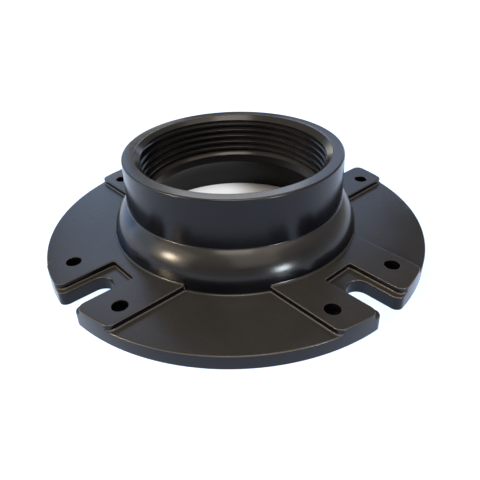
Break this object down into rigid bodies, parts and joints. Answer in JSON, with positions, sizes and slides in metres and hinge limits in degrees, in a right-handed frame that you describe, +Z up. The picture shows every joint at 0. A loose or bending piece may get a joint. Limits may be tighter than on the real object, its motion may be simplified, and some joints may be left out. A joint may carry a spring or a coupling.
{
  "type": "threaded floor flange",
  "caption": "Round floor flange with a raised collar threaded for a pipe, a domed hub, a bell mouth, bolt slots open at the rim with head pockets on raised pads, and countersunk screw holes.",
  "frame": {"origin": "centre of the flat sealing face that the flange rests on", "axes": "+Z up the collar's axis, away from the sealing face; +X and +Y each along the axis of a bolt slot"},
  "size_m": [0.1774, 0.1774, 0.0445],
  "materials": {
    "black_plastic": "satin gloss, moulded black plastic"
  },
  "bodies": {
    "root": {"floor_flange": "black_plastic"}
  },
  "joints": []
}
